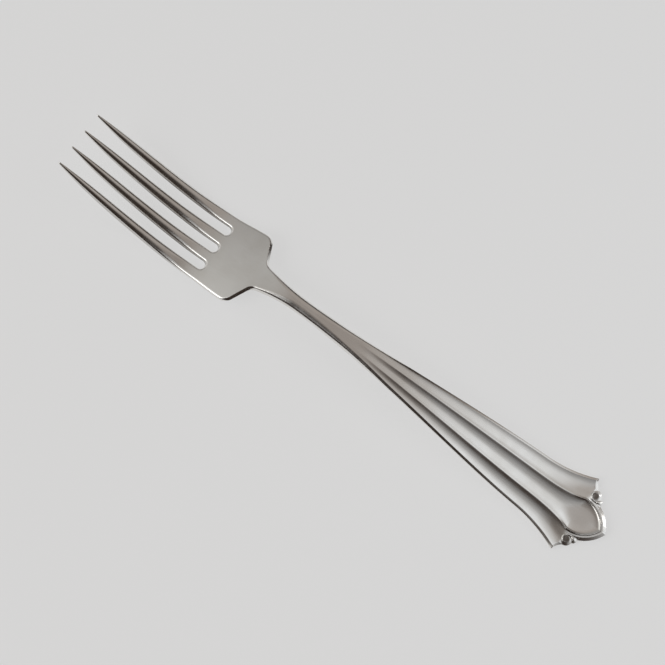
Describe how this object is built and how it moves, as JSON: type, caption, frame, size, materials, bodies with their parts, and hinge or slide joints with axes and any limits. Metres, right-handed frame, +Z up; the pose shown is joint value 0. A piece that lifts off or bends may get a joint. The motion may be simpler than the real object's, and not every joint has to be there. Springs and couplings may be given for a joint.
{
  "type": "dessert fork",
  "caption": "Silver dessert fork with tapered curved tines, a shouldered head, a slender neck and a fluted handle flaring to a pointed, scrolled end.",
  "frame": {"origin": "middle of the bounding box in plan, on the table that the fork lies on", "axes": "+X towards the tine tips, +Y to the left seen from the handle, +Z up, hollow side of the head up"},
  "size_m": [0.175, 0.0232, 0.0102],
  "materials": {
    "silver": "polished solid silver, softly worn"
  },
  "bodies": {
    "root": {"outer_left_tine": "silver", "inner_left_tine": "silver", "inner_right_tine": "silver", "outer_right_tine": "silver", "head": "silver", "neck": "silver", "left_flute": "silver", "middle_flute": "silver", "right_flute": "silver", "handle_end": "silver", "left_scroll": "silver", "right_scroll": "silver"}
  },
  "joints": []
}
